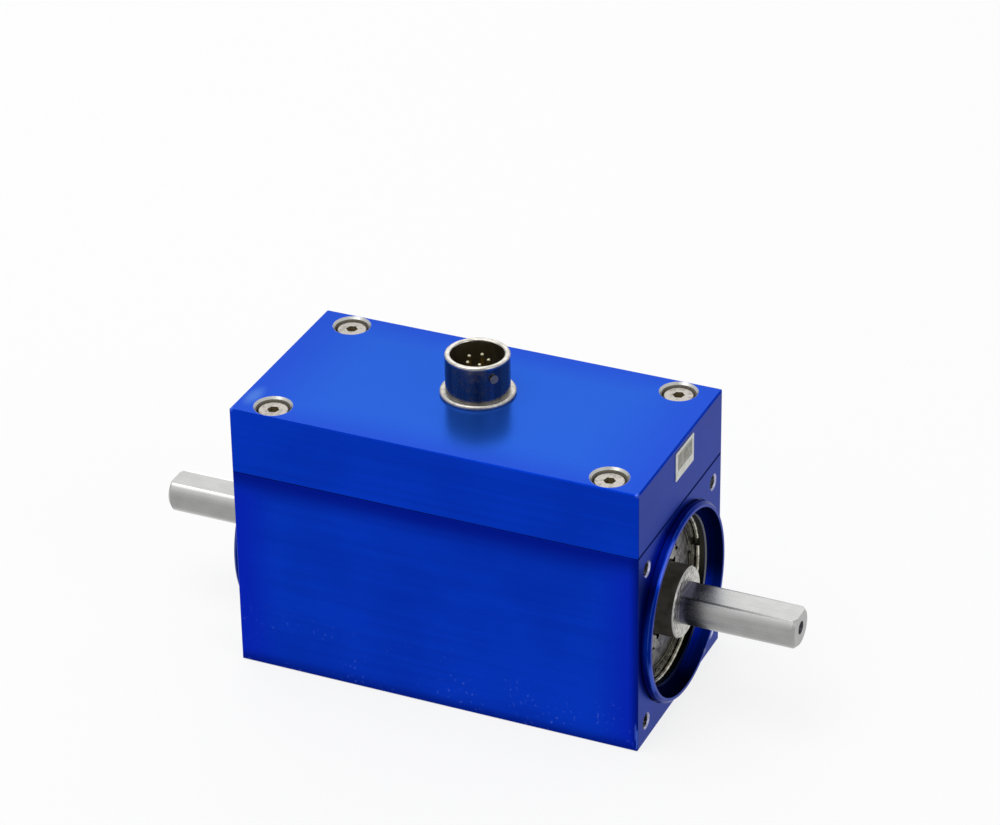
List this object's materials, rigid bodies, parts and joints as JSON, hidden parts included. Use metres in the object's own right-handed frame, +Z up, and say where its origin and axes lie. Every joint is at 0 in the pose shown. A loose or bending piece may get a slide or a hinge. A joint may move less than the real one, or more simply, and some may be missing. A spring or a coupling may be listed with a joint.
{
  "type": "rotary torque sensor",
  "caption": "Square blue metal block with a screwed lid, a steel shaft through it on ball bearings and a round plug connector on top; measures the torque in a turning shaft.",
  "frame": {"origin": "middle of the housing's base, on the plane that it stands on", "axes": "+X along the shaft towards the end with the label, +Z up through the lid and the connector"},
  "size_m": [0.1586, 0.051, 0.0778],
  "materials": {
    "anodised_blue": "blue anodised, satin",
    "gasket_rubber": "matt",
    "screw_steel": "bright",
    "shaft_steel": "ground",
    "bearing_steel": "ground and polished",
    "shield_steel": "pressed sheet",
    "spring_wire": "drawn wire",
    "connector_metal": "plated",
    "contact_gold": "plated",
    "insert_dark": "moulded",
    "label_white": "printed film",
    "board_green": "solder mask",
    "chip_black": "moulded",
    "spacer_brass": "turned",
    "bobbin_plastic": "moulded",
    "winding_copper": "enamelled wire",
    "lead_red": "insulated wire",
    "gauge_foil": "foil on film",
    "cage_plastic": "moulded"
  },
  "bodies": {
    "housing": {"housing_body": "anodised_blue", "lid": "anodised_blue", "lid_gasket": "gasket_rubber", "lid_screws": "screw_steel", "label": "label_white", "connector_shell": "connector_metal", "connector_insert": "insert_dark", "connector_pins": "contact_gold", "connector_nut": "connector_metal", "connector_oring": "gasket_rubber", "connector_leads": "lead_red", "main_board": "board_green", "board_components": "chip_black", "board_spacers": "spacer_brass", "board_screws": "screw_steel", "stator_carrier": "bobbin_plastic", "stator_winding": "winding_copper", "stator_leads": "lead_red", "bearing_retainers": "spring_wire", "right_outer_ring": "bearing_steel", "right_shields": "shield_steel", "right_shield_wires": "spring_wire", "left_outer_ring": "bearing_steel", "left_shields": "shield_steel", "left_shield_wires": "spring_wire"},
    "rotor": {"torsion_shaft": "shaft_steel", "strain_gauges": "gauge_foil", "rotor_carrier": "bobbin_plastic", "rotor_winding": "winding_copper", "rotor_board": "board_green", "right_inner_ring": "bearing_steel", "left_inner_ring": "bearing_steel"},
    "right_ball_set": {"right_balls": "bearing_steel", "right_cage": "cage_plastic"},
    "left_ball_set": {"left_balls": "bearing_steel", "left_cage": "cage_plastic"}
  },
  "joints": [
    {"name": "shaft_spin", "type": "hinge", "parent": "housing", "child": "rotor", "pos_m": [0, 0, 0.0255], "axis": [1, 0, 0], "continuous": true},
    {"name": "right_cage_spin", "type": "hinge", "parent": "housing", "child": "right_ball_set", "pos_m": [0.0401, 0, 0.0255], "axis": [1, 0, 0], "continuous": true},
    {"name": "left_cage_spin", "type": "hinge", "parent": "housing", "child": "left_ball_set", "pos_m": [-0.0401, 0, 0.0255], "axis": [1, 0, 0], "continuous": true}
  ],
  "couplings": [
    {"joint": "right_cage_spin", "follows": "shaft_spin", "ratio": 0.38158},
    {"joint": "left_cage_spin", "follows": "shaft_spin", "ratio": 0.38158}
  ]
}
